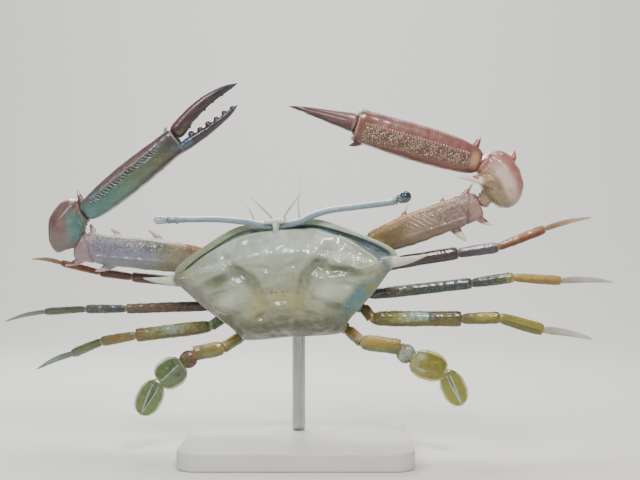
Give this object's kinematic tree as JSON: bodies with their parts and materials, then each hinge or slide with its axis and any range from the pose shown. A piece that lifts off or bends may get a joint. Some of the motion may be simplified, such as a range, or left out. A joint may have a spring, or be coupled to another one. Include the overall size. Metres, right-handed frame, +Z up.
{
  "type": "long-eyed swimming crab display model",
  "caption": "Still life-size model of a long-eyed swimming crab with very long eye stalks, long spiny claw arms and paddle legs, held upright on a flat base by a short rod.",
  "frame": {"origin": "middle of the underside of the stand's base, on the surface it stands on", "axes": "+Z up; -Y towards the viewer, who sees the crab's back; the crab's left side at -X and its head end up"},
  "size_m": [0.2827, 0.084, 0.1649],
  "materials": {
    "shell": "glossy grey-green shell with olive and blue-green patches",
    "underside": "satin, pale cream-green shell",
    "claw": "glossy, dusky rose to blue-green, granular",
    "arm": "satin, lilac grey to olive tan",
    "finger": "glossy, dark purple brown",
    "leg": "satin, mottled olive, green and orange brown",
    "paddle": "glossy, yellow green with pale rims",
    "stalk": "glossy, pale blue grey",
    "eye": "wet gloss, dark blue grey",
    "eye_pale": "wet gloss, pale green white",
    "stand_plate": "satin pale grey powder coat",
    "stand_steel": "brushed"
  },
  "bodies": {
    "root": {"carapace": "shell", "underside": "underside", "sternum": "underside", "abdomen": "underside", "maxilliped_right": "underside", "maxilliped_left": "underside", "eyestalk_right": "stalk", "eyestalk_left": "stalk", "eye_right": "eye", "eye_left": "eye_pale", "antennule_right": "stalk", "antennule_left": "stalk", "antenna_right": "stalk", "antenna_left": "stalk", "claw_right_ischium": "arm", "claw_right_merus": "arm", "claw_right_carpus": "claw", "claw_right_palm": "claw", "claw_right_dactyl": "finger", "claw_left_ischium": "arm", "claw_left_merus": "arm", "claw_left_carpus": "claw", "claw_left_palm": "claw", "claw_left_dactyl": "finger", "leg2_right_merus": "leg", "leg2_right_carpus": "leg", "leg2_right_propodus": "leg", "leg2_right_dactyl": "leg", "leg3_right_merus": "leg", "leg3_right_carpus": "leg", "leg3_right_propodus": "leg", "leg3_right_dactyl": "leg", "leg4_right_merus": "leg", "leg4_right_carpus": "leg", "leg4_right_propodus": "leg", "leg4_right_dactyl": "leg", "leg2_left_merus": "leg", "leg2_left_carpus": "leg", "leg2_left_propodus": "leg", "leg2_left_dactyl": "leg", "leg3_left_merus": "leg", "leg3_left_carpus": "leg", "leg3_left_propodus": "leg", "leg3_left_dactyl": "leg", "leg4_left_merus": "leg", "leg4_left_carpus": "leg", "leg4_left_propodus": "leg", "leg4_left_dactyl": "leg", "swim_right_ischium": "leg", "swim_right_merus": "leg", "swim_right_carpus": "leg", "swim_right_propodus": "paddle", "swim_right_dactyl": "paddle", "swim_left_ischium": "leg", "swim_left_merus": "leg", "swim_left_carpus": "leg", "swim_left_propodus": "paddle", "swim_left_dactyl": "paddle", "stand_base": "stand_plate", "stand_rod": "stand_steel"}
  },
  "joints": []
}
